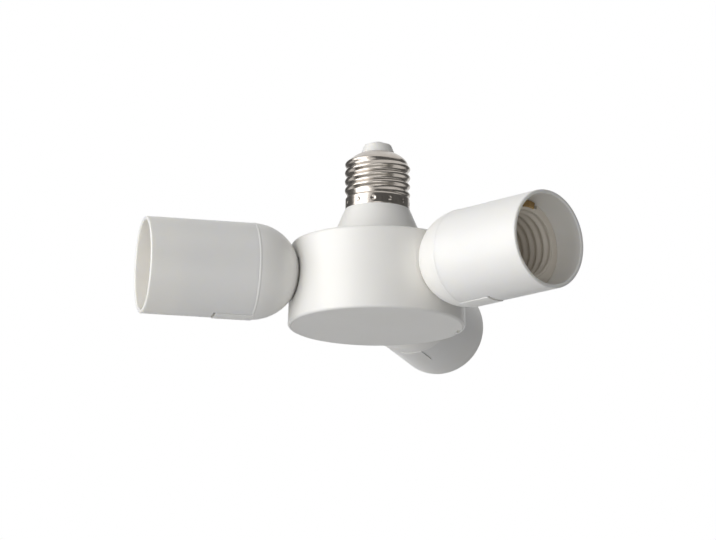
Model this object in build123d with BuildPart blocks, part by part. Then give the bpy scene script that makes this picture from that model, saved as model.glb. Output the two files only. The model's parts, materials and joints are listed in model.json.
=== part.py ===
"""Three-way lamp socket adapter: a round hub with a screw cap on top and three swivelling lamp holders.

Frame: origin at the centre of the hub's flat underside, +Z up along the screw cap, millimetres.
Each lamp holder is drawn once along +X and then turned about Z to its three places.
"""
import os
from math import asin, cos, degrees, radians, sin, sqrt

from build123d import *

# Hub moulding
HUB_RADIUS = 34.5
HUB_DRAFT = 1.1
HUB_WALL = 2.0
HUB_ROOF = 2.2
BOTTOM_EDGE_RADIUS = 1.0
TOP_EDGE_RADIUS = 1.3
NECK_BASE_RADIUS = 19.3
NECK_TOP_RADIUS = 13.1
NECK_HEIGHT = 14.5
CORE_BORE_RADIUS = 9.0

# Bottom cover, set flush in the hub's rim
COVER_RIM = 1.2
COVER_THICKNESS = 2.0
COVER_GAP = 0.1
COVER_SKIRT = 1.5
COVER_SKIRT_HEIGHT = 4.5
BEAD = 0.35
PRY_NOTCH_LENGTH = 5.6
PRY_NOTCH_WIDTH = 1.6
PRY_NOTCH_DEPTH = 1.3

# Screw cap, 27 mm size, stacked upward from the top of the neck
THREAD_CREST_RADIUS = 13.2
THREAD_ROOT_RADIUS = 12.3
THREAD_PITCH = 3.63
THREAD_TURNS = 3.25
THREAD_LEAD_IN = 2.15
THREAD_LENGTH = 15.5
THREAD_BASE_WIDTH = 2.9
THREAD_CREST_WIDTH = 1.0
SHELL_WALL = 0.35
SHELL_GAP = 0.05
SKIRT_RADIUS = 12.95
SKIRT_LENGTH = 4.2
SHOULDER_RADIUS = 10.6
SHOULDER_RISE = 1.8
SHELL_MOUTH_RADIUS = 7.4
SHELL_MOUTH_RISE = 1.7
TIP_RADIUS = 5.4
TIP_RISE = 3.9
CONTACT_RADIUS = 4.3
CONTACT_RISE = 1.1
CONTACT_STEM_RADIUS = 1.8
CONTACT_STEM_LENGTH = 6.0

# Lamp holders
SOCKET_ANGLES = (180.0, 300.0, 60.0)
AXIS_HEIGHT = 19.6
SEAT_DEPTH = 2.3
SOCKET_RADIUS = 19.3
HOLDER_LENGTH = 43.9
SLEEVE_WALL = 1.55
MOUTH_ROUNDING = 0.6
SEAM_CHAMFER = 0.5
SEAT_GAP = 0.5
SEAT_EDGE_RADIUS = 5.0
SEAT_MARGIN = 3.85
TILT_RANGE = 60.0

# Swivel arm
ARM_WIDTH = 9.0
ARM_HEIGHT = 10.0
ARM_SIDE_GAP = 0.2
SHAFT_RADIUS = 4.3
SHAFT_TAIL = 3.4
SHAFT_FLAT = 3.6
ARM_BORE_RADIUS = 2.7
BEARING_LENGTH = 3.7
BOSS_RADIUS = 9.8
COUNTERBORE_RADIUS = 7.0
COUNTERBORE_DEPTH = 0.9
TRUNNION_RADIUS = 2.5
RUNNING_GAP = 0.08
EAR_THICKNESS = 3.2
EAR_RADIUS = 6.0
SLOT_INNER = 12.0
SLOT_END_GAP = 0.15
DOME_STEP = 30.0
SPIGOT_LENGTH = 5.0
SPIGOT_WALL = 1.2

# Stop washer and retaining ring
WASHER_RADIUS = 6.4
WASHER_THICKNESS = 1.2
WASHER_GAP = 0.1
STOP_WIDTH = 1.4
STOP_REACH = 8.6
STOP_POST_INNER = 7.0
RING_RADIUS = 5.6
RING_THICKNESS = 0.95
RING_GROOVE_RADIUS = 3.5
RING_MOUTH = 5.0

# Latch tongue under each holder
TONGUE_WIDTH = 8.6
TONGUE_ROOT = 0.5
TONGUE_RISE = 0.3
TONGUE_SIDE_GAP = 0.2
TONGUE_END_GAP = 0.9
NIB_WIDTH = 5.0
NIB_LENGTH = 2.0
NIB_HEIGHT = 0.7
NIB_GAP = 0.15
NIB_INSET = 2.6
NIB_REACH = 2.6

# Threaded insert
CHANNEL_WIDTH = 2.75
BARREL_WALL = 1.65
BORE_DEPTH = 19.2
INSERT_DEPTH = 11.4
INSERT_LIP = 1.2
FLANGE_THICKNESS = 1.5
LEDGE_WIDTH = 3.35
POCKET_DEPTH = 2.0
FLOOR_THICKNESS = 1.6
INSERT_GAP = 0.12
INSERT_SKIRT = 1.2
INSERT_SKIRT_LENGTH = 6.6
WINDOW_WIDTH = 12.6
REST_RING = 0.9

# Contacts and leads
STRIP_THICKNESS = 0.5
STRIP_GAP = 0.02
SIDE_STRIP_WIDTH = 7.0
SIDE_STRIP_STANDOFF = 0.7
CENTRE_STRIP_WIDTH = 6.0
SPRING_DEPTH = 6.2
SPRING_LENGTH = 8.0
SPRING_RAMP = 2.6
SPRING_INSET = 0.4
RIVET_RADIUS = 1.2
RIVET_HEAD_RADIUS = 1.7
RIVET_HEAD = 0.6
LIVE_RIVET_INSET = 3.5
NEUTRAL_RIVET_INSET = 2.6
LEAD_RADIUS = 0.9
LEAD_OFFSET = 1.1
LEAD_BREAK = 0.8
LEAD_BEND = 1.5
LEAD_RING_RADIUS = 2.4
SPLICE_RADIUS = 4.8
SPLICE_LENGTH = 8.0
SPLICE_REACH = 3.6
RISER_ENTRY = 3.4
RISER_RADIUS = 7.0
RISER_RISE = 9.7

# Round seats in the hub's wall; the roof clears the rims of the seats
seat_radius = SOCKET_RADIUS + SEAT_GAP
seat_mouth = sqrt(seat_radius**2 - (SOCKET_RADIUS - SEAT_DEPTH) ** 2)
pivot = HUB_RADIUS + SOCKET_RADIUS - SEAT_DEPTH
hub_height = AXIS_HEIGHT + seat_mouth + SEAT_MARGIN

# Hub and screw cap, from the sizes above
hub_foot_radius = HUB_RADIUS + HUB_DRAFT
hub_inner = HUB_RADIUS - HUB_WALL
cover_radius = hub_foot_radius - COVER_RIM
rebate_radius = cover_radius + COVER_GAP
rebate_top = COVER_THICKNESS + COVER_GAP
cover_skirt = hub_inner - COVER_GAP
bead_height = COVER_THICKNESS + COVER_GAP + COVER_SKIRT_HEIGHT / 2
neck_top = hub_height + NECK_HEIGHT
skirt_top = neck_top + SKIRT_LENGTH
thread_base = skirt_top + THREAD_LEAD_IN
shoulder_start = skirt_top + THREAD_LENGTH
shoulder_top = shoulder_start + SHOULDER_RISE
shell_top = shoulder_top + SHELL_MOUTH_RISE
tip_top = shell_top + TIP_RISE
contact_top = tip_top + CONTACT_RISE
riser_top = skirt_top + RISER_RISE

# Places along a lamp holder's axis, from the hub's centre
counterbore_floor = pivot - seat_radius - COUNTERBORE_DEPTH
arm_shoulder = counterbore_floor + WASHER_GAP
boss_face = counterbore_floor - BEARING_LENGTH
shaft_end = boss_face - SHAFT_TAIL
ring_back = boss_face - WASHER_GAP - WASHER_THICKNESS - WASHER_GAP / 2 - RING_THICKNESS
mouth = pivot + HOLDER_LENGTH
insert_front = mouth - INSERT_DEPTH
flange_front = insert_front - INSERT_LIP
flange_back = flange_front - FLANGE_THICKNESS
insert_ledge = insert_front - BORE_DEPTH
insert_floor = insert_ledge - POCKET_DEPTH
insert_back = insert_floor - FLOOR_THICKNESS
insert_skirt_end = insert_back + INSERT_SKIRT_LENGTH
spring_front = insert_front - SPRING_DEPTH
spring_back = spring_front - SPRING_LENGTH
nib_start = insert_back + NIB_REACH
tongue_length = nib_start + NIB_INSET - pivot

# Radii of the holder's shells and the slot that lets the arm through the dome
sleeve_inner = SOCKET_RADIUS - SLEEVE_WALL
insert_radius = sleeve_inner - INSERT_GAP
spigot_radius = sleeve_inner - INSERT_GAP
barrel_radius = sleeve_inner - CHANNEL_WIDTH
bore_radius = barrel_radius - BARREL_WALL
pocket_radius = bore_radius - LEDGE_WIDTH
side_strip_radius = barrel_radius + SIDE_STRIP_STANDOFF
spring_radius = bore_radius + SPRING_INSET
live_rivet = LIVE_RIVET_INSET - pocket_radius
neutral_rivet = pocket_radius - NEUTRAL_RIVET_INSET
dome_inner = spigot_radius - SPIGOT_WALL
seam_angle = degrees(SEAM_CHAMFER / SOCKET_RADIUS)
slot_half_width = ARM_WIDTH / 2 + ARM_SIDE_GAP
ear_reach = sqrt(dome_inner**2 - slot_half_width**2)
slot_reach = sqrt((dome_inner * cos(radians(DOME_STEP / 2))) ** 2 - slot_half_width**2)
slot_half_angle = degrees(asin((ARM_HEIGHT / 2 + SLOT_END_GAP) / slot_reach))
tilt_stop = TILT_RANGE + slot_half_angle

SOCKET_AXIS = Axis((0, 0, AXIS_HEIGHT), (1, 0, 0))
SECTION = Plane(origin=(0, 0, AXIS_HEIGHT), x_dir=(1, 0, 0), z_dir=(0, -1, 0))


def across(reach):
    """Plane square to a lamp holder's axis, at a distance from the hub's centre."""
    return Plane(origin=(reach, 0, AXIS_HEIGHT), x_dir=(0, 1, 0), z_dir=(1, 0, 0))


def around_pivot(angle, radius):
    """Point round the tilt axis, from the hub side upward."""
    return (pivot - radius * cos(radians(angle)), radius * sin(radians(angle)))


# Bearing for one lamp holder: a boss inside the hub wall with a post that stops the turn
with BuildPart() as bearing_boss:
    with BuildSketch(across(boss_face)):
        Circle(BOSS_RADIUS)
    extrude(amount=hub_inner - boss_face)
    with BuildSketch(across(boss_face)):
        with Locations((0, -(STOP_POST_INNER + BOSS_RADIUS) / 2)):
            Rectangle(STOP_WIDTH, BOSS_RADIUS - STOP_POST_INNER - WASHER_GAP)
    extrude(amount=-(WASHER_THICKNESS + WASHER_GAP))

# Round seat for the dome, recess for the arm's root and hole for its shaft
with BuildPart() as bearing_cut:
    with BuildSketch(SECTION):
        with BuildLine():
            CenterArc((pivot, 0), seat_radius, 90, 90)
            Polyline((pivot - seat_radius, 0), (pivot, 0), (pivot, seat_radius))
        make_face()
    revolve(axis=SOCKET_AXIS)
    with BuildSketch(across(counterbore_floor)):
        Circle(COUNTERBORE_RADIUS)
    extrude(amount=hub_foot_radius - counterbore_floor)
    with BuildSketch(across(boss_face)):
        Circle(SHAFT_RADIUS + RUNNING_GAP)
    extrude(amount=arm_shoulder - boss_face)

# Hub: side wall, roof, neck and the core of the screw cap are one moulding
core_radius = THREAD_ROOT_RADIUS - SHELL_WALL - SHELL_GAP
core_skirt_radius = SKIRT_RADIUS - SHELL_WALL - SHELL_GAP
with BuildPart() as hub_body:
    with BuildSketch(Plane.XZ):
        with BuildLine():
            FilletPolyline(
                (rebate_radius, 0),
                (hub_foot_radius, 0),
                (HUB_RADIUS + HUB_DRAFT / 2, hub_height / 2),
                radius=BOTTOM_EDGE_RADIUS,
            )
            FilletPolyline(
                (HUB_RADIUS + HUB_DRAFT / 2, hub_height / 2),
                (HUB_RADIUS, hub_height),
                (NECK_BASE_RADIUS, hub_height),
                (NECK_TOP_RADIUS, neck_top),
                radius=TOP_EDGE_RADIUS,
            )
            Polyline(
                (NECK_TOP_RADIUS, neck_top),
                (core_skirt_radius, neck_top),
                (core_skirt_radius, skirt_top - SHELL_WALL),
                (core_radius, skirt_top + SHELL_WALL),
                (core_radius, shoulder_start - SHELL_WALL),
                (SHOULDER_RADIUS - SHELL_WALL, shoulder_top - 2 * SHELL_WALL),
                (SHELL_MOUTH_RADIUS - SHELL_WALL, shell_top - 2 * SHELL_WALL),
                (SHELL_MOUTH_RADIUS - SHELL_WALL, shell_top),
            )
            FilletPolyline(
                (SHELL_MOUTH_RADIUS - SHELL_WALL, shell_top),
                (TIP_RADIUS, tip_top),
                (CONTACT_STEM_RADIUS + SHELL_GAP, tip_top),
                radius=TOP_EDGE_RADIUS / 2,
            )
            Polyline(
                (CONTACT_STEM_RADIUS + SHELL_GAP, tip_top),
                (CONTACT_STEM_RADIUS + SHELL_GAP, shoulder_top),
                (CORE_BORE_RADIUS, shoulder_start - HUB_WALL),
                (CORE_BORE_RADIUS, neck_top),
                (NECK_BASE_RADIUS - 2 * HUB_WALL, hub_height - HUB_ROOF),
                (hub_inner, hub_height - HUB_ROOF),
                (hub_inner, bead_height + BEAD),
                (hub_inner + BEAD, bead_height),
                (hub_inner, bead_height - BEAD),
                (hub_inner, rebate_top),
                (rebate_radius, rebate_top),
                (rebate_radius, 0),
            )
        make_face()
    revolve(axis=Axis.Z)
    # One boss, seat and bearing hole per lamp holder
    for angle in SOCKET_ANGLES:
        add(bearing_boss.part.rotate(Axis.Z, angle))
    for angle in SOCKET_ANGLES:
        add(bearing_cut.part.rotate(Axis.Z, angle), mode=Mode.SUBTRACT)
    seats = hub_body.faces().filter_by(GeomType.SPHERE)
    fillet(seats.edges().filter_by(GeomType.BSPLINE), SEAT_EDGE_RADIUS)
    # Passage for the lead to the screw shell
    with BuildSketch(Plane.YZ):
        with Locations((0, riser_top)):
            Circle(LEAD_RADIUS + RUNNING_GAP)
    extrude(amount=THREAD_CREST_RADIUS, mode=Mode.SUBTRACT)

# Bottom cover with a snap skirt and a notch for prising it off
with BuildPart() as bottom_cover:
    with BuildSketch(Plane.XZ):
        with BuildLine():
            Polyline(
                (0, 0),
                (cover_radius, 0),
                (cover_radius, COVER_THICKNESS),
                (cover_skirt, COVER_THICKNESS),
                (cover_skirt, bead_height - BEAD),
                (cover_skirt + BEAD, bead_height),
                (cover_skirt, bead_height + BEAD),
                (cover_skirt, COVER_THICKNESS + COVER_SKIRT_HEIGHT),
                (cover_skirt - COVER_SKIRT, COVER_THICKNESS + COVER_SKIRT_HEIGHT),
                (cover_skirt - COVER_SKIRT, COVER_THICKNESS),
                (0, COVER_THICKNESS),
                close=True,
            )
        make_face()
    revolve(axis=Axis.Z)
    with BuildSketch(Plane.XY):
        with Locations((cover_radius, 0)):
            Rectangle(2 * PRY_NOTCH_WIDTH, PRY_NOTCH_LENGTH)
    extrude(amount=PRY_NOTCH_DEPTH, mode=Mode.SUBTRACT)

# Screw shell: drawn cup with a rolled right-hand thread
with BuildPart() as screw_shell:
    with BuildSketch(Plane.XZ):
        with BuildLine():
            Polyline(
                (SKIRT_RADIUS, neck_top + SHELL_GAP),
                (SKIRT_RADIUS, skirt_top),
                (THREAD_ROOT_RADIUS, skirt_top + 2 * SHELL_WALL),
                (THREAD_ROOT_RADIUS, shoulder_start),
                (SHOULDER_RADIUS, shoulder_top),
                (SHELL_MOUTH_RADIUS, shell_top),
                (SHELL_MOUTH_RADIUS, shell_top - SHELL_WALL),
                (SHOULDER_RADIUS - SHELL_WALL, shoulder_top - SHELL_WALL),
                (THREAD_ROOT_RADIUS - SHELL_WALL, shoulder_start),
                (THREAD_ROOT_RADIUS - SHELL_WALL, skirt_top + 2 * SHELL_WALL),
                (SKIRT_RADIUS - SHELL_WALL, skirt_top),
                (SKIRT_RADIUS - SHELL_WALL, neck_top + SHELL_GAP),
                close=True,
            )
        make_face()
    revolve(axis=Axis.Z)
    with BuildLine(Plane.XY.offset(thread_base)) as thread_path:
        Helix(pitch=THREAD_PITCH, height=THREAD_PITCH * THREAD_TURNS, radius=THREAD_ROOT_RADIUS)
    thread_start = thread_path.line @ 0
    radial = Vector(thread_start.X, thread_start.Y, 0)
    with BuildSketch(Plane(origin=thread_start, x_dir=radial, z_dir=thread_path.line % 0)):
        with BuildLine():
            Polyline(
                (-SHELL_WALL / 2, -THREAD_BASE_WIDTH / 2),
                (THREAD_CREST_RADIUS - THREAD_ROOT_RADIUS, -THREAD_CREST_WIDTH / 2),
                (THREAD_CREST_RADIUS - THREAD_ROOT_RADIUS, THREAD_CREST_WIDTH / 2),
                (-SHELL_WALL / 2, THREAD_BASE_WIDTH / 2),
                close=True,
            )
        make_face()
    sweep(path=thread_path.line, is_frenet=True)

# Contact button riveted through the tip of the core
with BuildPart() as tip_contact:
    with BuildSketch(Plane.XZ):
        with BuildLine():
            Polyline(
                (0, contact_top),
                (CONTACT_RADIUS / 2, contact_top),
                (CONTACT_RADIUS, tip_top + 2 * SHELL_GAP),
                (CONTACT_RADIUS, tip_top),
                (CONTACT_STEM_RADIUS, tip_top),
                (CONTACT_STEM_RADIUS, tip_top - CONTACT_STEM_LENGTH),
                (0, tip_top - CONTACT_STEM_LENGTH),
                close=True,
            )
        make_face()
    revolve(axis=Axis.Z)

# Crimped splices that join the three pairs of leads to the screw cap
with BuildPart() as live_splice:
    with BuildSketch(Plane.XY.offset(AXIS_HEIGHT + SPLICE_REACH)):
        Circle(SPLICE_RADIUS)
    extrude(amount=SPLICE_LENGTH)
    chamfer(live_splice.edges(), LEAD_RADIUS / 2)

with BuildPart() as neutral_splice:
    with BuildSketch(Plane.XY.offset(AXIS_HEIGHT - SPLICE_REACH)):
        Circle(SPLICE_RADIUS)
    extrude(amount=-SPLICE_LENGTH)
    chamfer(neutral_splice.edges(), LEAD_RADIUS / 2)

with BuildPart() as cap_live_lead:
    with BuildSketch(Plane.XY.offset(AXIS_HEIGHT + SPLICE_REACH + SPLICE_LENGTH)):
        Circle(LEAD_RADIUS)
    extrude(amount=tip_top - CONTACT_STEM_LENGTH - AXIS_HEIGHT - SPLICE_REACH - SPLICE_LENGTH)

with BuildPart() as cap_neutral_lead:
    with BuildLine() as riser_path:
        FilletPolyline(
            (RISER_ENTRY, 0, AXIS_HEIGHT - SPLICE_REACH),
            (RISER_ENTRY, 0, AXIS_HEIGHT - SPLICE_REACH / 2),
            (RISER_RADIUS, 0, AXIS_HEIGHT + SPLICE_REACH / 2),
            (RISER_RADIUS, 0, riser_top),
            (core_radius, 0, riser_top),
            radius=LEAD_BEND,
        )
    with BuildSketch(Plane(origin=riser_path.line @ 0, z_dir=riser_path.line % 0)):
        Circle(LEAD_RADIUS)
    sweep(path=riser_path.line)

# Swivel arm: hollow shaft through the hub wall, flat tongue and trunnions in the dome
with BuildPart() as swivel_arm:
    with BuildSketch(across(shaft_end)):
        Circle(SHAFT_RADIUS)
    extrude(amount=arm_shoulder - shaft_end)
    with BuildSketch(across(shaft_end)):
        with Locations((0, SHAFT_FLAT + SHAFT_RADIUS / 2)):
            Rectangle(2 * SHAFT_RADIUS, SHAFT_RADIUS)
    extrude(amount=boss_face - shaft_end, mode=Mode.SUBTRACT)
    with BuildSketch(across(ring_back - WASHER_GAP / 2)):
        Circle(SHAFT_RADIUS + WASHER_GAP)
        Circle(RING_GROOVE_RADIUS, mode=Mode.SUBTRACT)
    extrude(amount=RING_THICKNESS + WASHER_GAP, mode=Mode.SUBTRACT)
    with BuildSketch(SECTION):
        with Locations(((arm_shoulder + pivot) / 2, 0)):
            Rectangle(pivot - arm_shoulder, ARM_HEIGHT)
        with Locations((pivot, 0)):
            Circle(ARM_HEIGHT / 2)
    extrude(amount=ARM_WIDTH / 2, both=True)
    with BuildSketch(SECTION):
        with Locations((pivot, 0)):
            Circle(TRUNNION_RADIUS)
    extrude(amount=slot_half_width + EAR_THICKNESS, both=True)
    with BuildSketch(across(shaft_end)):
        Circle(ARM_BORE_RADIUS)
    extrude(amount=pivot + ARM_HEIGHT - shaft_end, mode=Mode.SUBTRACT)
    # The fork lets the leads follow the holder as it tilts
    with BuildSketch(SECTION):
        with BuildLine():
            Polyline(
                (pivot - ARM_BORE_RADIUS, -ARM_BORE_RADIUS),
                (pivot + ARM_HEIGHT, -ARM_BORE_RADIUS),
                (pivot + ARM_HEIGHT, ARM_HEIGHT),
                (pivot - ARM_BORE_RADIUS / 2, ARM_HEIGHT),
                (pivot - ARM_BORE_RADIUS, ARM_BORE_RADIUS),
                close=True,
            )
        make_face()
    extrude(amount=ARM_BORE_RADIUS, both=True, mode=Mode.SUBTRACT)

# Stop washer keyed to the shaft; its tab meets a post in the hub at each end of the turn
with BuildPart() as stop_washer:
    with BuildSketch(across(boss_face - WASHER_GAP)):
        Circle(WASHER_RADIUS)
        with Locations((0, STOP_REACH / 2)):
            Rectangle(STOP_WIDTH, STOP_REACH)
        Circle(SHAFT_RADIUS + RUNNING_GAP, mode=Mode.SUBTRACT)
        with Locations((0, SHAFT_FLAT + RUNNING_GAP + STOP_WIDTH / 2)):
            Rectangle(2 * SHAFT_RADIUS, STOP_WIDTH)
    extrude(amount=-WASHER_THICKNESS)

with BuildPart() as retaining_ring:
    with BuildSketch(across(ring_back)):
        Circle(RING_RADIUS)
        Circle(RING_GROOVE_RADIUS + STRIP_GAP, mode=Mode.SUBTRACT)
        with Locations((0, -RING_RADIUS)):
            Rectangle(RING_MOUTH, 2 * RING_RADIUS - RING_GROOVE_RADIUS, mode=Mode.SUBTRACT)
    extrude(amount=RING_THICKNESS)

# Dome cap: round shell that turns in the hub's seat, slotted above for the arm
with BuildPart() as dome_cap:
    with BuildSketch(SECTION):
        with BuildLine():
            CenterArc((pivot, 0), SOCKET_RADIUS, 90 + seam_angle, 90 - seam_angle)
            Polyline(
                (pivot - SOCKET_RADIUS, 0),
                around_pivot(0, dome_inner),
                around_pivot(DOME_STEP, dome_inner),
                around_pivot(2 * DOME_STEP, dome_inner),
                (pivot, dome_inner),
                (pivot + SPIGOT_LENGTH, dome_inner),
                (pivot + SPIGOT_LENGTH, spigot_radius),
                (pivot, spigot_radius),
                (pivot, SOCKET_RADIUS - SEAM_CHAMFER),
                around_pivot(90 - seam_angle, SOCKET_RADIUS),
            )
        make_face()
    revolve(axis=SOCKET_AXIS)
    with BuildSketch(SECTION):
        with BuildLine():
            ThreePointArc(
                around_pivot(-slot_half_angle, SLOT_INNER),
                around_pivot(TILT_RANGE / 2, SLOT_INNER),
                around_pivot(tilt_stop, SLOT_INNER),
            )
            Polyline(around_pivot(tilt_stop, SLOT_INNER), around_pivot(tilt_stop, seat_radius))
            ThreePointArc(
                around_pivot(tilt_stop, seat_radius),
                around_pivot(TILT_RANGE / 2, seat_radius),
                around_pivot(-slot_half_angle, seat_radius),
            )
            Polyline(around_pivot(-slot_half_angle, seat_radius), around_pivot(-slot_half_angle, SLOT_INNER))
        make_face()
    extrude(amount=slot_half_width, both=True, mode=Mode.SUBTRACT)
    # Ears that carry the trunnions
    for side in (-1, 1):
        ear_plane = SECTION.offset(side * slot_half_width)
        with BuildSketch(ear_plane):
            with Locations((pivot - ear_reach / 2, 0)):
                Rectangle(ear_reach, 2 * EAR_RADIUS)
            with Locations((pivot, 0)):
                Circle(EAR_RADIUS)
                Circle(TRUNNION_RADIUS + RUNNING_GAP, mode=Mode.SUBTRACT)
        extrude(amount=side * EAR_THICKNESS)
    # Latch tongue with its nib, a little proud of the sleeve
    with BuildSketch(across(pivot - TONGUE_ROOT)):
        Circle(SOCKET_RADIUS + TONGUE_RISE)
        Circle(sleeve_inner + INSERT_GAP, mode=Mode.SUBTRACT)
        with Locations((0, -SOCKET_RADIUS)):
            Rectangle(TONGUE_WIDTH, SOCKET_RADIUS / 2, mode=Mode.INTERSECT)
    extrude(amount=tongue_length + TONGUE_ROOT)
    with BuildSketch(across(nib_start)):
        with Locations((0, -sleeve_inner)):
            Rectangle(NIB_WIDTH, 2 * NIB_HEIGHT)
    extrude(amount=NIB_LENGTH)

# Sleeve: plain tube with a notch for the tongue and an inner ring that the insert rests on
with BuildPart() as sleeve:
    with BuildSketch(SECTION):
        with BuildLine():
            FilletPolyline(
                (insert_front, sleeve_inner),
                (mouth, sleeve_inner),
                (mouth, SOCKET_RADIUS),
                (insert_front, SOCKET_RADIUS),
                radius=MOUTH_ROUNDING,
            )
            Polyline(
                (insert_front, SOCKET_RADIUS),
                (pivot + STRIP_GAP, SOCKET_RADIUS),
                (pivot + STRIP_GAP, sleeve_inner),
                (flange_back - 3 * REST_RING, sleeve_inner),
                (flange_back - 2 * REST_RING, sleeve_inner - REST_RING),
                (flange_back - STRIP_GAP, sleeve_inner - REST_RING),
                (flange_back - STRIP_GAP, sleeve_inner),
                (insert_front, sleeve_inner),
            )
        make_face()
    revolve(axis=SOCKET_AXIS)
    with BuildSketch(across(pivot)):
        with Locations((0, -SOCKET_RADIUS)):
            Rectangle(TONGUE_WIDTH + 2 * TONGUE_SIDE_GAP, SOCKET_RADIUS / 2)
    extrude(amount=tongue_length + TONGUE_END_GAP, mode=Mode.SUBTRACT)

# Insert: barrel for the lamp's screw cap, flange, contact floor and rear skirt
with BuildPart() as lamp_insert:
    with BuildSketch(SECTION):
        with BuildLine():
            Polyline(
                (insert_back, 0),
                (insert_back, insert_radius),
                (insert_skirt_end, insert_radius),
                (insert_skirt_end, insert_radius - INSERT_SKIRT),
                (insert_floor, insert_radius - INSERT_SKIRT),
                (insert_floor, barrel_radius),
                (flange_back, barrel_radius),
                (flange_back, insert_radius),
                (flange_front, insert_radius),
                (flange_front, barrel_radius),
                (insert_front, barrel_radius),
                (insert_front, bore_radius),
                (insert_ledge, bore_radius),
                (insert_ledge, pocket_radius),
                (insert_floor, pocket_radius),
                (insert_floor, 0),
                close=True,
            )
        make_face()
    revolve(axis=SOCKET_AXIS)
    # Window over the side contact
    with BuildSketch(across(flange_back)):
        with Locations((0, barrel_radius + SLEEVE_WALL)):
            Rectangle(WINDOW_WIDTH, 2 * SLEEVE_WALL)
    extrude(amount=flange_front - flange_back, mode=Mode.SUBTRACT)
    # Opening in the barrel for the side contact's spring, and its way through the floor
    with BuildSketch(across(spring_back)):
        with Locations((0, barrel_radius)):
            Rectangle(SIDE_STRIP_WIDTH + 2 * INSERT_GAP, barrel_radius / 2)
    extrude(amount=spring_front - spring_back, mode=Mode.SUBTRACT)
    with BuildSketch(across(insert_back)):
        with Locations((0, side_strip_radius)):
            Rectangle(SIDE_STRIP_WIDTH + 2 * INSERT_GAP, STRIP_THICKNESS + 2 * INSERT_GAP)
    extrude(amount=insert_floor - insert_back, mode=Mode.SUBTRACT)
    # Rivet holes and the catch for the tongue's nib
    with BuildSketch(across(insert_back)):
        with Locations((0, live_rivet), (0, neutral_rivet)):
            Circle(RIVET_RADIUS + STRIP_GAP)
    extrude(amount=insert_floor - insert_back, mode=Mode.SUBTRACT)
    with BuildSketch(across(nib_start - NIB_GAP)):
        with Locations((0, -insert_radius)):
            Rectangle(NIB_WIDTH + 2 * NIB_GAP, 2 * INSERT_SKIRT + NIB_GAP)
    extrude(amount=NIB_LENGTH + 2 * NIB_GAP, mode=Mode.SUBTRACT)

# Side contact: brass strip along the barrel, dipped through it to meet the lamp's screw cap
strip_back = insert_back - STRIP_GAP - STRIP_THICKNESS / 2
with BuildPart() as side_contact:
    with BuildSketch(SECTION):
        with BuildLine():
            FilletPolyline(
                (strip_back, neutral_rivet - 2 * RIVET_RADIUS),
                (strip_back, side_strip_radius),
                (spring_back + STRIP_THICKNESS, side_strip_radius),
                (spring_back + SPRING_RAMP, spring_radius),
                (spring_front - SPRING_RAMP, spring_radius),
                (spring_front - STRIP_THICKNESS, side_strip_radius),
                (flange_front, side_strip_radius),
                radius=STRIP_THICKNESS,
            )
        trace(line_width=STRIP_THICKNESS)
    extrude(amount=SIDE_STRIP_WIDTH / 2, both=True)
    with BuildSketch(across(strip_back - STRIP_THICKNESS)):
        with Locations((0, neutral_rivet)):
            Circle(RIVET_RADIUS + STRIP_GAP)
    extrude(amount=2 * STRIP_THICKNESS, mode=Mode.SUBTRACT)

# Centre contact: sprung brass leaf on the insert's floor
leaf_foot = insert_floor + STRIP_GAP + STRIP_THICKNESS / 2
leaf_crown = insert_ledge - STRIP_THICKNESS
with BuildPart() as centre_contact:
    with BuildSketch(SECTION):
        with BuildLine():
            FilletPolyline(
                (leaf_foot, live_rivet - RIVET_HEAD_RADIUS),
                (leaf_foot, live_rivet + RIVET_HEAD_RADIUS + STRIP_THICKNESS),
                (leaf_crown, -RIVET_RADIUS),
                (leaf_crown, RIVET_RADIUS),
                (leaf_foot + STRIP_THICKNESS, neutral_rivet - RIVET_HEAD_RADIUS - 2 * STRIP_THICKNESS),
                radius=STRIP_THICKNESS,
            )
        trace(line_width=STRIP_THICKNESS)
    extrude(amount=CENTRE_STRIP_WIDTH / 2, both=True)
    with BuildSketch(across(insert_floor)):
        with Locations((0, live_rivet)):
            Circle(RIVET_RADIUS + STRIP_GAP)
    extrude(amount=2 * STRIP_THICKNESS, mode=Mode.SUBTRACT)

# Two rivets hold the contacts to the insert's floor
live_front = leaf_foot + STRIP_THICKNESS / 2 + STRIP_GAP
neutral_back = strip_back - STRIP_THICKNESS / 2 - STRIP_GAP
live_back = insert_back - STRIP_GAP
neutral_front = insert_floor + STRIP_GAP
with BuildPart() as contact_rivets:
    for height, back, front in (
        (live_rivet, live_back, live_front),
        (neutral_rivet, neutral_back, neutral_front),
    ):
        with BuildSketch(across(back)):
            with Locations((0, height)):
                Circle(RIVET_RADIUS)
        extrude(amount=front - back)
        with BuildSketch(across(back)):
            with Locations((0, height)):
                Circle(RIVET_HEAD_RADIUS)
        extrude(amount=-RIVET_HEAD, taper=20)
        with BuildSketch(across(front)):
            with Locations((0, height)):
                Circle(RIVET_HEAD_RADIUS)
        extrude(amount=RIVET_HEAD, taper=20)

# Leads: hub splices to the tilt axis through the arm, then on to the rivets
with BuildPart() as hub_live_lead:
    with BuildLine() as hub_live_path:
        FilletPolyline(
            (LEAD_RING_RADIUS, LEAD_OFFSET, AXIS_HEIGHT + SPLICE_REACH),
            (LEAD_RING_RADIUS, LEAD_OFFSET, AXIS_HEIGHT),
            (pivot - LEAD_BREAK, LEAD_OFFSET, AXIS_HEIGHT),
            radius=LEAD_BEND,
        )
    with BuildSketch(Plane(origin=hub_live_path.line @ 0, z_dir=hub_live_path.line % 0)):
        Circle(LEAD_RADIUS)
    sweep(path=hub_live_path.line)

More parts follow.
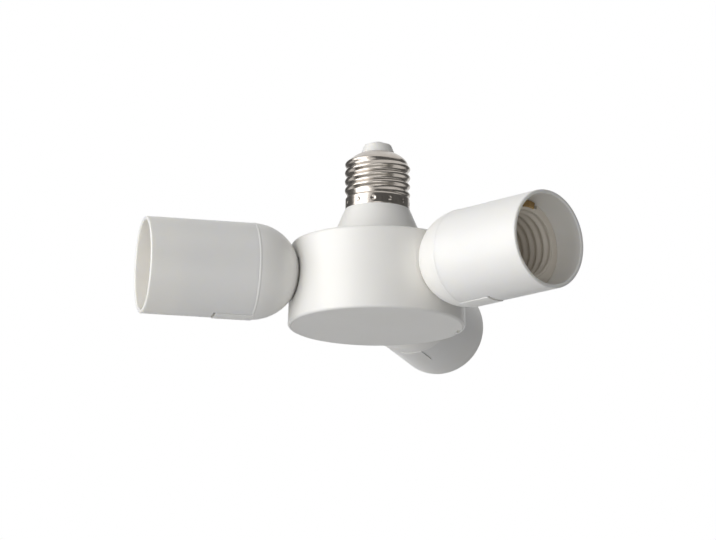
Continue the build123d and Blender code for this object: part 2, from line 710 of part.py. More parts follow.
with BuildPart() as hub_neutral_lead:
    with BuildLine() as hub_neutral_path:
        FilletPolyline(
            (LEAD_RING_RADIUS, -LEAD_OFFSET, AXIS_HEIGHT - SPLICE_REACH),
            (LEAD_RING_RADIUS, -LEAD_OFFSET, AXIS_HEIGHT),
            (pivot - LEAD_BREAK, -LEAD_OFFSET, AXIS_HEIGHT),
            radius=LEAD_BEND,
        )
    with BuildSketch(Plane(origin=hub_neutral_path.line @ 0, z_dir=hub_neutral_path.line % 0)):
        Circle(LEAD_RADIUS)
    sweep(path=hub_neutral_path.line)

live_turn = live_back - RIVET_HEAD - STRIP_GAP - LEAD_RADIUS
neutral_turn = neutral_back - RIVET_HEAD - STRIP_GAP - LEAD_RADIUS
with BuildPart() as holder_live_lead:
    with BuildLine() as holder_live_path:
        FilletPolyline(
            (pivot + LEAD_BREAK, LEAD_OFFSET, AXIS_HEIGHT),
            (live_turn, LEAD_OFFSET, AXIS_HEIGHT),
            (live_turn, LEAD_OFFSET / 2, AXIS_HEIGHT + live_rivet),
            radius=LEAD_BEND,
        )
    with BuildSketch(Plane(origin=holder_live_path.line @ 0, z_dir=holder_live_path.line % 0)):
        Circle(LEAD_RADIUS)
    sweep(path=holder_live_path.line)

with BuildPart() as holder_neutral_lead:
    with BuildLine() as holder_neutral_path:
        FilletPolyline(
            (pivot + LEAD_BREAK, -LEAD_OFFSET, AXIS_HEIGHT),
            (neutral_turn, -LEAD_OFFSET, AXIS_HEIGHT),
            (neutral_turn, -LEAD_OFFSET / 2, AXIS_HEIGHT + neutral_rivet),
            radius=LEAD_BEND,
        )
    with BuildSketch(Plane(origin=holder_neutral_path.line @ 0, z_dir=holder_neutral_path.line % 0)):
        Circle(LEAD_RADIUS)
    sweep(path=holder_neutral_path.line)

os.makedirs("parts", exist_ok=True)

hub_pieces = {
    "hub_body": hub_body,
    "bottom_cover": bottom_cover,
    "screw_shell": screw_shell,
    "tip_contact": tip_contact,
    "live_splice": live_splice,
    "neutral_splice": neutral_splice,
    "cap_live_lead": cap_live_lead,
    "cap_neutral_lead": cap_neutral_lead,
}
for name, piece in hub_pieces.items():
    piece.part.label = name
    export_step(piece.part, f"parts/{name}.step")

holder_pieces = {
    "swivel_arm": swivel_arm,
    "stop_washer": stop_washer,
    "retaining_ring": retaining_ring,
    "dome_cap": dome_cap,
    "sleeve": sleeve,
    "lamp_insert": lamp_insert,
    "side_contact": side_contact,
    "centre_contact": centre_contact,
    "contact_rivets": contact_rivets,
    "hub_live_lead": hub_live_lead,
    "hub_neutral_lead": hub_neutral_lead,
    "holder_live_lead": holder_live_lead,
    "holder_neutral_lead": holder_neutral_lead,
}
for number, angle in enumerate(SOCKET_ANGLES, start=1):
    for name, piece in holder_pieces.items():
        placed = piece.part.rotate(Axis.Z, angle)
        placed.label = f"{name}_{number}"
        export_step(placed, f"parts/{name}_{number}.step")
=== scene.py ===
"""Finishes for a three-way lamp socket adapter, built around its packed CAD model."""

import json
from math import cos, exp, pi, radians, sin, tau

import bmesh
import bpy
from bpy.props import FloatProperty, FloatVectorProperty, IntProperty, PointerProperty
from bpy.types import Operator, Panel, PropertyGroup
from mathutils import Euler, Matrix, Vector


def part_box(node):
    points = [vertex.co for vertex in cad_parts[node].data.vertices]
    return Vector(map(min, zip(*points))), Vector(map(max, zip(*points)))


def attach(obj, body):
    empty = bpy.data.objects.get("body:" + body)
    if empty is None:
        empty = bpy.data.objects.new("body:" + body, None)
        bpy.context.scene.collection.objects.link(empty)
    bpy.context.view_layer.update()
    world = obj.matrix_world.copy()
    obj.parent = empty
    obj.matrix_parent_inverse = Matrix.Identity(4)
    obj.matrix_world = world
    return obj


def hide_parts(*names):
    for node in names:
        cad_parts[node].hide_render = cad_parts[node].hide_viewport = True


bl_info = {
    "name": "Lamp Socket Adapter",
    "version": (1, 0, 0),
    "blender": (4, 5, 0),
    "location": "3D View > Sidebar > Adapter",
    "description": "Dresses a three-way lamp socket adapter and sets up its studio",
    "category": "Object",
}

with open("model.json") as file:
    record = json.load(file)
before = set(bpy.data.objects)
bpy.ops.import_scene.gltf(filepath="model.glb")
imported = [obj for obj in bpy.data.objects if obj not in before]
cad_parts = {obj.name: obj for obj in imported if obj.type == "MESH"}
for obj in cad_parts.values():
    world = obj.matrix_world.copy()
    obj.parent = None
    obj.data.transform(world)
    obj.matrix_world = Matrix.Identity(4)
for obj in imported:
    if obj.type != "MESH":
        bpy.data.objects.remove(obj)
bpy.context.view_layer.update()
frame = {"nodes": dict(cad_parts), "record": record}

MM = 0.001
UP = Vector((0, 0, 1))
HOLDERS = (1, 2, 3)
PHOTO_WIDTH = 716.0
PHOTO_HEIGHT = 540.0
SENSOR_MM = 36.0
CAMERA_REACH = 20.0

# Mesh density: faces round a turned piece, and the step along it
BEAD_COLUMNS = 192
BEAD_ROWS = 10
SHELL_COLUMNS = 320
SHELL_STEP = 0.16 * MM
SHOULDER_ROWS = 30
INSERT_COLUMNS = 200
INSERT_STEP = 0.24 * MM
HOOK_COLUMNS = 16
CURTAIN_COLUMNS = 24

# Edges between faces that meet at more than this stay sharp
CAD_SHARP = radians(32)
SHEET_SHARP = radians(50)

# Direction from the object, distance, width and height of each lamp, in metres
KEY_LAMP = (Vector((-0.97, -0.24, 0.1)), 1.1, 1.1, 1.7)
FILL_LAMP = (Vector((-0.24, -0.94, -0.32)), 1.1, 0.6, 0.6)

# Name, first and last angle from +X in degrees, and height of the top edge in metres
CURTAINS = (
    ("front_curtain", -122, 42, 1.4),
    ("rear_curtain", 97, 163, 1.4),
    ("low_curtain", 42, 97, -0.3),
)

MOUNTS = {mount["name"]: mount for mount in frame["record"]["mounts"]}
SHELL_LOW, SHELL_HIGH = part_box("screw_shell")


def linear(hex_colour):
    """Linear RGB from an sRGB hex value."""
    channels = [int(hex_colour[i : i + 2], 16) / 255 for i in (1, 3, 5)]
    return tuple(c / 12.92 if c <= 0.04045 else ((c + 0.055) / 1.055) ** 2.4 for c in channels)


def amount(name, description, default, **more):
    """Number property, with a unit or subtype where it has one."""
    return FloatProperty(name=name, description=description, default=default, **more)


def length(name, description, metres):
    """Length property in metres."""
    return amount(name, description, metres, unit="LENGTH", precision=5)


def bearing(name, description, degrees):
    """Angle property, given in degrees."""
    return amount(name, description, radians(degrees), subtype="ANGLE")


def colour(name, description, hex_colour):
    """Colour property from an sRGB hex value."""
    return FloatVectorProperty(
        name=name,
        description=description,
        default=linear(hex_colour),
        subtype="COLOR",
        min=0.0,
        max=1.0,
    )


class AdapterFinishes(PropertyGroup):
    """Colours of the adapter's materials."""

    housing: colour("Housing", "White moulded plastic of hub, domes and sleeves", "#F4F3F0")
    housing_shade: colour("Housing shade", "Warmer tone that drifts across the housing", "#EFEDE8")
    insert: colour("Insert", "Heat-proof plastic of the threaded inserts", "#E9E3D8")
    insert_shade: colour("Insert shade", "Darker tone in the insert's moulding", "#DDD5C8")
    nickel: colour("Nickel", "Plated screw shell", "#CAC3BB")
    nickel_dull: colour("Dull nickel", "Handled and tarnished plating", "#A7A098")
    brass: colour("Brass", "Sprung contacts", "#C0A472")
    brass_dull: colour("Dull brass", "Oxide on the contacts", "#836849")
    tin: colour("Tin", "Soldered contact button", "#B7B4AE")
    steel: colour("Steel", "Stop washers and retaining rings", "#A9A8A6")
    live: colour("Live lead", "Insulation of the live leads", "#5A3A22")
    neutral: colour("Neutral lead", "Insulation of the neutral leads", "#2F5588")
    splice: colour("Splice", "Crimped splice sleeves", "#DCD9D0")


class SeamBeadSizes(PropertyGroup):
    """Sizes of the raised bead where dome and sleeve meet."""

    width: length("Width", "Width of the bead along the holder", 1.3 * MM)
    rise: length("Rise", "Height of the bead above the sleeve", 0.14 * MM)
    sink: length("Sink", "Depth of the bead's edges below the sleeve's surface", 0.05 * MM)


class ScrewShellSizes(PropertyGroup):
    """Sizes of the rolled screw shell."""

    crest: length("Crest radius", "Radius over the thread crests", SHELL_HIGH.x)
    root: length("Root radius", "Radius at the thread roots", 12.3 * MM)
    skirt: length("Skirt radius", "Radius of the plain skirt below the thread", 12.95 * MM)
    skirt_top: length("Skirt height", "Length of the plain skirt", 4.15 * MM)
    pitch: length("Pitch", "Rise of the thread in one turn", 3.63 * MM)
    lead_in: length("Lead-in", "From the skirt up to the first crest on the +X side", 2.15 * MM)
    turns: amount("Turns", "Full turns of thread from there", 3.5)
    shoulder: length("Shoulder", "Height of the shoulder below the mouth", 4.9 * MM)
    mouth: length("Mouth radius", "Radius of the shell's upper opening", 7.4 * MM)
    wall: length("Wall", "Thickness of the sheet", 0.35 * MM)
    dimples: IntProperty(
        name="Dimples", description="Crimp marks round the skirt", default=12, min=0
    )
    dimple_radius: length("Dimple radius", "Radius of one crimp mark", 0.75 * MM)
    dimple_depth: length("Dimple depth", "Depth of one crimp mark", 0.32 * MM)
    dimple_level: amount("Dimple level", "Height of the marks as a share of the skirt", 0.52)
    dimple_facing: bearing("Dimple facing", "Direction that one mark faces, from +X", -111)
    run_in: amount("Run-in", "Turns over which the thread rises from the skirt", 0.4)
    run_out: amount("Run-out", "Turns over which it ends on the shoulder", 0.35)
    run_in_end: amount("Run-in end", "Turns from the first crest to the end of the run-in", -0.05)
    edge: length("Edge", "How far the skirt's lower edge is drawn in", 0.1 * MM)
    edge_height: length("Edge height", "Height over which it is drawn in", 0.5 * MM)
    blend: length("Blend", "Height over which skirt and thread merge", 0.8 * MM)
    gap: length("Gap", "From the skirt's top to the first row of the thread", 0.1 * MM)
    bulge: amount("Bulge", "Power that shapes the shoulder: higher is flatter", 1.9)
    lip: length("Lip", "How far the mouth's lip is drawn in", 0.02 * MM)


class LampInsertSizes(PropertyGroup):
    """Sizes of the moulded thread in each lamp socket."""

    crest: length("Crest radius", "Radius inside the thread's ridges", 12.35 * MM)
    pitch: length("Pitch", "Rise of the thread in one turn", 3.63 * MM)
    clear: length("Clearance", "Gap between the ridges' roots and the bore", 0.04 * MM)
    roundness: amount("Roundness", "Power that shapes the ridges: higher is sharper", 1.2)
    fade_in: length("Fade-in", "Depth over which the ridges rise behind the bore's mouth", 1.2 * MM)
    fade_out: length("Fade-out", "Depth over which they end above the floor", 2 * MM)
    spring_width: length("Spring gap", "Width left open for the side contact", 7.3 * MM)
    spring_back: length("Gap's far end", "Depth of that end below the bore's mouth", 14.2 * MM)
    spring_front: length("Gap's near end", "Depth of that end below the bore's mouth", 6.2 * MM)


class ContactHookSizes(PropertyGroup):
    """Sizes of the hooked end of each side contact."""

    width: length("Width", "Width of the strip", 7.0 * MM)
    top: length("Top", "Outer radius of the hook", 17.25 * MM)
    tip: length("Tip", "Radius of the hook's tip on the insert's rim", 14.45 * MM)
    sheet: length("Sheet", "Thickness of the strip", 0.35 * MM)
    stand_off: length("Stand-off", "Gap between the hook and the insert's front", 0.07 * MM)
    back: length("Back", "From the insert's front back to the flat strip", 1.1 * MM)


class StudioSettings(PropertyGroup):
    """Camera and lights."""

    azimuth: bearing("Azimuth", "Camera's place round the object", -13.7)
    elevation: bearing("Elevation", "Camera's height above the horizon", -13.4)
    roll: bearing("Roll", "Turn of the camera about its own axis", 0.38)
    distance: length("Distance", "From the camera to the point it turns about", 1.463)
    aim_height: length("Aim height", "Height of the point it turns about", 18 * MM)
    lens: amount("Lens", "Focal length in millimetres on a 36 mm sensor", 183.5)
    aim_x: amount("Aim X", "Photograph column of that point", 376.9, subtype="PIXEL")
    aim_y: amount("Aim Y", "Photograph row of that point", 283.25, subtype="PIXEL")
    key: amount("Key", "Power of the large soft lamp at the left", 15.0, unit="POWER")
    fill: amount("Fill", "Power of the soft lamp near the camera", 1.8, unit="POWER")
    ambient: amount("Ambient", "Strength of the light from all round", 0.245)
    floor: length("Floor", "Height of the studio floor", -0.55)
    floor_half: length("Floor's half width", "From the centre line to the floor's edge", 4.0)
    floor_grey: amount("Floor grey", "Share of light that the floor sends back", 0.63)
    curtain_grey: amount("Curtain grey", "Share of light that the curtains send back", 0.34)
    curtain_radius: length("Curtain radius", "From the centre line to the grey curtains", 1.6)


def node(tree, kind, inputs=None, **settings):
    """Adds a shader node with its settings; an input is a value or another node's output socket."""
    added = tree.nodes.new(kind)
    for name, value in settings.items():
        setattr(added, name, value)
    for name, value in (inputs or {}).items():
        if isinstance(value, bpy.types.NodeSocket):
            tree.links.new(value, added.inputs[name])
        else:
            added.inputs[name].default_value = value
    return added


def rgba(colour_property):
    """Colour property with full alpha."""
    return (*colour_property, 1.0)


def empty_tree(owner):
    """Node tree of a material or world, cleared."""
    owner.use_nodes = True
    owner.node_tree.nodes.clear()
    return owner.node_tree


def surface(name, main, second, patch_mm, grain_mm, bump, roughness, spread, **shader):
    """Material with two tones in soft patches and a fine grain that drives roughness and bump."""
    material = bpy.data.materials.new(name)
    tree = empty_tree(material)
    place = node(tree, "ShaderNodeTexCoord").outputs["Object"]
    patches = node(
        tree,
        "ShaderNodeTexNoise",
        {"Vector": place, "Scale": 1 / (patch_mm * MM), "Detail": 3.0},
    )
    grain = node(
        tree,
        "ShaderNodeTexNoise",
        {"Vector": place, "Scale": 1 / (grain_mm * MM), "Detail": 2.0},
    )
    tone = node(tree, "ShaderNodeMix", {"Factor": patches.outputs["Fac"]}, data_type="RGBA")
    tone.inputs["A"].default_value = rgba(main)
    tone.inputs["B"].default_value = rgba(second)
    rough = node(
        tree,
        "ShaderNodeMapRange",
        {
            "Value": grain.outputs["Fac"],
            "To Min": roughness - spread,
            "To Max": roughness + spread,
        },
    )
    relief = node(
        tree,
        "ShaderNodeBump",
        {"Height": grain.outputs["Fac"], "Strength": bump, "Distance": grain_mm * MM / 4},
    )
    shading = node(
        tree,
        "ShaderNodeBsdfPrincipled",
        {
            "Base Color": tone.outputs["Result"],
            "Roughness": rough.outputs["Result"],
            "Normal": relief.outputs["Normal"],
            **shader,
        },
    )
    node(tree, "ShaderNodeOutputMaterial", {"Surface": shading.outputs["BSDF"]})
    return material


def housing_plastic(name, glow, depth_mm):
    """Moulded white PBT: satin, with a fine grain from the tool; light glows through thin walls."""
    finishes = bpy.context.scene.adapter_finishes
    # The grain of the tool is near 0.1 mm; it is drawn at 0.6 mm so that it shows at all.
    return surface(
        name, finishes.housing, finishes.housing_shade,
        patch_mm=38, grain_mm=0.6, bump=0.05, roughness=0.36, spread=0.05,
        **{
            "IOR": 1.5,
            "Subsurface Weight": glow,
            "Subsurface Scale": depth_mm * MM,
            "Subsurface Radius": (1.0, 0.9, 0.65),
        },
    )


def insert_plastic():
    """Moulded heat-proof PBT of the lamp inserts: warmer and duller than the housing."""
    finishes = bpy.context.scene.adapter_finishes
    return surface(
        "warm_pbt_moulded", finishes.insert, finishes.insert_shade,
        patch_mm=9, grain_mm=0.7, bump=0.12, roughness=0.5, spread=0.08,
        **{"IOR": 1.5},
    )


def nickel_plate():
    """Nickel plate on rolled brass: warm grey mirror, dulled and marked by tool and handling."""
    finishes = bpy.context.scene.adapter_finishes
    return surface(
        "nickel_plated_rolled", finishes.nickel, finishes.nickel_dull,
        patch_mm=3.5, grain_mm=0.5, bump=0.02, roughness=0.23, spread=0.07,
        **{"Metallic": 1.0},
    )


def contact_brass():
    """Stamped spring brass: yellow metal with brown oxide in patches."""
    finishes = bpy.context.scene.adapter_finishes
    return surface(
        "spring_brass_stamped", finishes.brass, finishes.brass_dull,
        patch_mm=2.5, grain_mm=0.5, bump=0.08, roughness=0.34, spread=0.1,
        **{"Metallic": 1.0},
    )


def solder_tin():
    """Tinned contact button: soft grey metal with a slightly lumpy wiped surface."""
    finishes = bpy.context.scene.adapter_finishes
    return surface(
        "tin_wiped", finishes.tin, finishes.steel,
        patch_mm=2, grain_mm=0.8, bump=0.3, roughness=0.38, spread=0.12,
        **{"Metallic": 1.0},
    )


def stamped_steel():
    """Zinc-coated stamped steel: cool grey with a fine scatter of roughness."""
    finishes = bpy.context.scene.adapter_finishes
    return surface(
        "zinc_steel_stamped", finishes.steel, finishes.tin,
        patch_mm=3, grain_mm=0.4, bump=0.1, roughness=0.42, spread=0.1,
        **{"Metallic": 1.0},
    )


def lead_sleeving(name, main):
    """Extruded PVC insulation: even colour with a soft sheen and faint die lines."""
    return surface(
        name, main, [0.8 * channel for channel in main],
        patch_mm=4, grain_mm=0.5, bump=0.08, roughness=0.45, spread=0.06,
        **{"IOR": 1.53},
    )


def splice_nylon():
    """Moulded nylon splice sleeve: milky white and slightly waxy."""
    finishes = bpy.context.scene.adapter_finishes
    return surface(
        "nylon_moulded", finishes.splice, finishes.insert,
        patch_mm=5, grain_mm=0.6, bump=0.1, roughness=0.5, spread=0.06,
        **{"IOR": 1.53},
    )


def dress(cad_node, material):
    """Gives a CAD node its material, smooth across gentle bends and sharp at edges."""
    item = frame["nodes"][cad_node]
    item.data.materials.clear()
    item.data.materials.append(material)
    item.data.shade_smooth()
    item.data.set_sharp_from_angle(angle=CAD_SHARP)


def mesh_object(name, rows, keep=None, closed=True):
    """Object from rows of points, joined row to row and, where closed, round each row."""
    mesh = bmesh.new()
    grid = [[mesh.verts.new(point) for point in row] for row in rows]
    columns = len(rows[0])
    for r in range(len(rows) - 1):
        for c in range(columns if closed else columns - 1):
            if keep is None or keep(r, c):
                n = (c + 1) % columns
                mesh.faces.new((grid[r][c], grid[r][n], grid[r + 1][n], grid[r + 1][c]))
    loose = [vertex for vertex in mesh.verts if not vertex.link_faces]
    bmesh.ops.delete(mesh, geom=loose, context="VERTS")
    data = bpy.data.meshes.new(name)
    mesh.to_mesh(data)
    mesh.free()
    data.shade_smooth()
    item = bpy.data.objects.new(name, data)
    bpy.context.scene.collection.objects.link(item)
    return item


def ease(value, low, high):
    """Smooth step from 0 at low to 1 at high."""
    t = min(max((value - low) / (high - low), 0.0), 1.0)
    return t * t * (3 - 2 * t)


def wave(turn):
    """Smooth wave over a turn: 1 at whole turns and 0 half-way between."""
    return 0.5 + 0.5 * cos(tau * turn)


def axis_frame(number):
    """Middle of a lamp socket's mouth, its outward direction and the level direction across it."""
    mount = MOUNTS[f"lamp_socket_{number}"]
    outward = Vector(mount["axis"])
    return Vector(mount["pos_m"]), outward, UP.cross(outward)


def spread_between(low, high, step):
    """Evenly spaced values from low to high, about a step apart."""
    count = max(2, round((high - low) / step) + 1)
    return [low + (high - low) * i / (count - 1) for i in range(count)]


class ADAPTER_OT_housings(Operator):
    """Give the housings their moulded white plastic and bead the joints of domes and sleeves"""

    bl_idname = "adapter.housings"
    bl_label = "Dress Housings"

    def execute(self, context):
        plastic = housing_plastic("white_pbt_moulded", glow=0.15, depth_mm=2.0)
        thin = housing_plastic("white_pbt_thin_wall", glow=0.35, depth_mm=3.0)
        dress("hub_body", plastic)
        dress("bottom_cover", plastic)
        for number in HOLDERS:
            dress(f"dome_cap_{number}", plastic)
            dress(f"swivel_arm_{number}", plastic)
            dress(f"sleeve_{number}", thin)
            self.seam_bead(number, context.scene.adapter_seam_bead, plastic)
        return {"FINISHED"}

    def seam_bead(self, number, sizes, plastic):
        """Fine moulded bead that covers the joint of a dome cap and its sleeve."""
        sleeve = frame["nodes"][f"sleeve_{number}"]
        points = [sleeve.matrix_world @ vertex.co for vertex in sleeve.data.vertices]
        mouth, outward, across = axis_frame(number)
        seam = mouth + outward * min((point - mouth).dot(outward) for point in points)
        radius = max((point - seam).cross(outward).length for point in points)
        sunk = radius - sizes.sink
        angles = [tau * c / BEAD_COLUMNS for c in range(BEAD_COLUMNS)]
        rows = []
        for i in range(BEAD_ROWS + 1):
            t = 2 * i / BEAD_ROWS - 1
            rim = sunk + (sizes.rise + sizes.sink) * cos(t * pi / 2)
            centre = seam + outward * (t * sizes.width / 2)
            rows.append([centre + (across * cos(a) + UP * sin(a)) * rim for a in angles])
        bead = mesh_object(f"seam_bead_{number}", rows)
        bead.data.materials.append(plastic)
        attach(bead, f"holder_{number}")


class ADAPTER_OT_screw_shell(Operator):
    """Build the rolled screw shell with its crimp dimples and dress the contact button"""

    bl_idname = "adapter.screw_shell"
    bl_label = "Build Screw Shell"

    def execute(self, context):
        sizes = context.scene.adapter_screw_shell
        low, high = SHELL_LOW.z, SHELL_HIGH.z
        skirt_top = low + sizes.skirt_top
        shoulder = high - sizes.shoulder
        angles = [tau * c / SHELL_COLUMNS for c in range(SHELL_COLUMNS)]

        def ridge(height, angle):
            """Height of the rolled thread above its root, run out along the helix at both ends."""
            turn = (height - skirt_top - sizes.lead_in) / sizes.pitch - angle / tau
            along = round(turn) + angle / tau
            start = ease(along, sizes.run_in_end - sizes.run_in, sizes.run_in_end)
            end = 1 - ease(along, sizes.turns, sizes.turns + sizes.run_out)
            return (sizes.crest - sizes.root) * wave(turn) * start * end

        def dimple(height, angle):
            """Depth of the crimp marks at a point of the skirt."""
            if not sizes.dimples:
                return 0.0
            step = tau / sizes.dimples
            off = (angle - sizes.dimple_facing + step / 2) % step - step / 2
            rise = height - (low + sizes.dimple_level * sizes.skirt_top)
            apart = ((sizes.skirt * off) ** 2 + rise**2) / sizes.dimple_radius**2
            return sizes.dimple_depth * exp(-(apart**2))

        def ring(height, radius_at):
            """Row of points round the axis; the radius follows the angle."""
            radii = [radius_at(a) for a in angles]
            return [(r * cos(a), r * sin(a), height) for a, r in zip(angles, radii)]

        rows = [ring(low, lambda a: sizes.skirt - sizes.wall)]
        for height in spread_between(low, skirt_top, SHELL_STEP):
            skirt = sizes.skirt - sizes.edge * (1 - ease(height, low, low + sizes.edge_height))
            rows.append(ring(height, lambda a: skirt - dimple(height, a)))
        for height in spread_between(skirt_top + sizes.gap, shoulder, SHELL_STEP):
            blend = ease(height, skirt_top, skirt_top + sizes.blend)
            step_in = sizes.root - sizes.skirt
            rows.append(ring(height, lambda a: sizes.skirt + (step_in + ridge(height, a)) * blend))
        # Shoulder: leaves the wall upright and comes in flat to the mouth
        for i in range(1, SHOULDER_ROWS + 1):
            t = i / SHOULDER_ROWS * pi / 2
            height = shoulder + (high - shoulder) * sin(t)
            wall = sizes.mouth + (sizes.root - sizes.mouth) * max(cos(t), 0.0) ** sizes.bulge
            rows.append(ring(height, lambda a: wall + ridge(height, a)))
        rows.append(ring(high - sizes.wall, lambda a: sizes.mouth - sizes.lip))
        shell = mesh_object("screw_shell_rolled", rows)
        shell.data.materials.append(nickel_plate())
        shell.data.set_sharp_from_angle(angle=SHEET_SHARP)
        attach(shell, "hub")
        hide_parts("screw_shell")
        dress("tip_contact", solder_tin())
        return {"FINISHED"}


class ADAPTER_OT_lamp_inserts(Operator):
    """Dress the lamp inserts and line each bore with its moulded thread"""

    bl_idname = "adapter.lamp_inserts"
    bl_label = "Build Lamp Inserts"

    def execute(self, context):
        sizes = context.scene.adapter_lamp_insert
        plastic = insert_plastic()
        for number in HOLDERS:
            dress(f"lamp_insert_{number}", plastic)
            mouth, outward, across = axis_frame(number)
            socket = MOUNTS[f"lamp_socket_{number}"]["dims"]
            bore = socket["r_mm"] * MM - sizes.clear
            depth = socket["length_mm"] * MM
            depths = spread_between(0.0, depth, INSERT_STEP)
            half_gap = sizes.spring_width / 2 / bore
            rows = []
            for down in depths:
                end = 1 - ease(down, depth - sizes.fade_out, depth)
                relief = (bore - sizes.crest) * ease(down, 0.0, sizes.fade_in) * end
                row = []
                for c in range(INSERT_COLUMNS):
                    angle = tau * c / INSERT_COLUMNS
                    ridge = wave(-down / sizes.pitch - angle / tau) ** sizes.roundness
                    ray = across * cos(angle) + UP * sin(angle)
                    row.append(mouth - outward * down + ray * (bore - relief * ridge))
                rows.append(row)

            def kept(r, c):
                """Whether a face stays, or opens the gap for the side contact."""
                angle = tau * (c + 0.5) / INSERT_COLUMNS
                in_gap = sizes.spring_front < depths[r] < sizes.spring_back
                return not (in_gap and abs(angle - pi / 2) < half_gap)

            thread = mesh_object(f"insert_thread_{number}", rows, keep=kept)
            thread.data.materials.append(plastic)
            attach(thread, f"holder_{number}")
        return {"FINISHED"}


class ADAPTER_OT_contacts(Operator):
    """Give contacts and rivets stamped brass and hook the side contacts over the inserts"""

    bl_idname = "adapter.contacts"
    bl_label = "Dress Contacts"

    def execute(self, context):
        brass = contact_brass()
        for number in HOLDERS:
            for piece in ("side_contact", "centre_contact", "contact_rivets"):
                dress(f"{piece}_{number}", brass)
            self.hook(number, context.scene.adapter_contact_hook, brass)
        return {"FINISHED"}

    def hook(self, number, sizes, brass):
        """End of a side contact, bent down over the rim of its insert."""
        mouth, outward, across = axis_frame(number)
        inner, outer = sizes.stand_off, sizes.stand_off + sizes.sheet
        bend = sizes.sheet
        mid = 0.3 * bend  # point half-way round a bend, in from both of its sides
        # Radius and distance in front of the insert; inside points lie opposite outside ones
        outside = [
            (sizes.top, -sizes.back),
            (sizes.top, outer - bend),
            (sizes.top - mid, outer - mid),
            (sizes.top - bend, outer),
            (sizes.tip + bend, outer),
            (sizes.tip + mid, outer - mid),
            (sizes.tip, inner),
        ]
        inside = [
            (sizes.top - sizes.sheet, -sizes.back),
            (sizes.top - sizes.sheet, 0.0),
            (sizes.top - sizes.sheet, 0.5 * inner),
            (sizes.top - 1.3 * bend, inner),
            (sizes.tip + bend, inner),
            (sizes.tip + 0.7 * bend, inner),
            (sizes.tip + 0.4 * bend, inner),
        ]
        middle = [((a[0] + b[0]) / 2, (a[1] + b[1]) / 2) for a, b in zip(outside, inside)]
        loop = outside + inside[::-1]
        flat = middle + middle[::-1]
        half = sizes.width / 2 / sizes.top
        turns = [half * (2 * i / HOOK_COLUMNS - 1) for i in range(HOOK_COLUMNS + 1)]
        # A row without thickness closes each side of the strip
        sections = [(flat, turns[0]), *((loop, turn) for turn in turns), (flat, turns[-1])]
        rows = []
        for profile, turn in sections:
            ray = across * sin(turn) + UP * cos(turn)
            rows.append([mouth + ray * radius + outward * ahead for radius, ahead in profile])
        item = mesh_object(f"contact_hook_{number}", rows)
        item.data.materials.append(brass)
        item.data.set_sharp_from_angle(angle=SHEET_SHARP)
        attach(item, f"holder_{number}")


class ADAPTER_OT_inner_parts(Operator):
    """Dress the stop washers, retaining rings, leads and splices inside the housings"""

    bl_idname = "adapter.inner_parts"
    bl_label = "Dress Inner Parts"

    def execute(self, context):
        finishes = context.scene.adapter_finishes
        steel = stamped_steel()
        live = lead_sleeving("pvc_extruded_live", finishes.live)
        neutral = lead_sleeving("pvc_extruded_neutral", finishes.neutral)
        nylon = splice_nylon()
        dress("cap_live_lead", live)
        dress("cap_neutral_lead", neutral)
        dress("live_splice", nylon)
        dress("neutral_splice", nylon)
        for number in HOLDERS:
            dress(f"stop_washer_{number}", steel)
            dress(f"retaining_ring_{number}", steel)
            dress(f"hub_live_lead_{number}", live)
            dress(f"holder_live_lead_{number}", live)
            dress(f"hub_neutral_lead_{number}", neutral)
            dress(f"holder_neutral_lead_{number}", neutral)
        return {"FINISHED"}


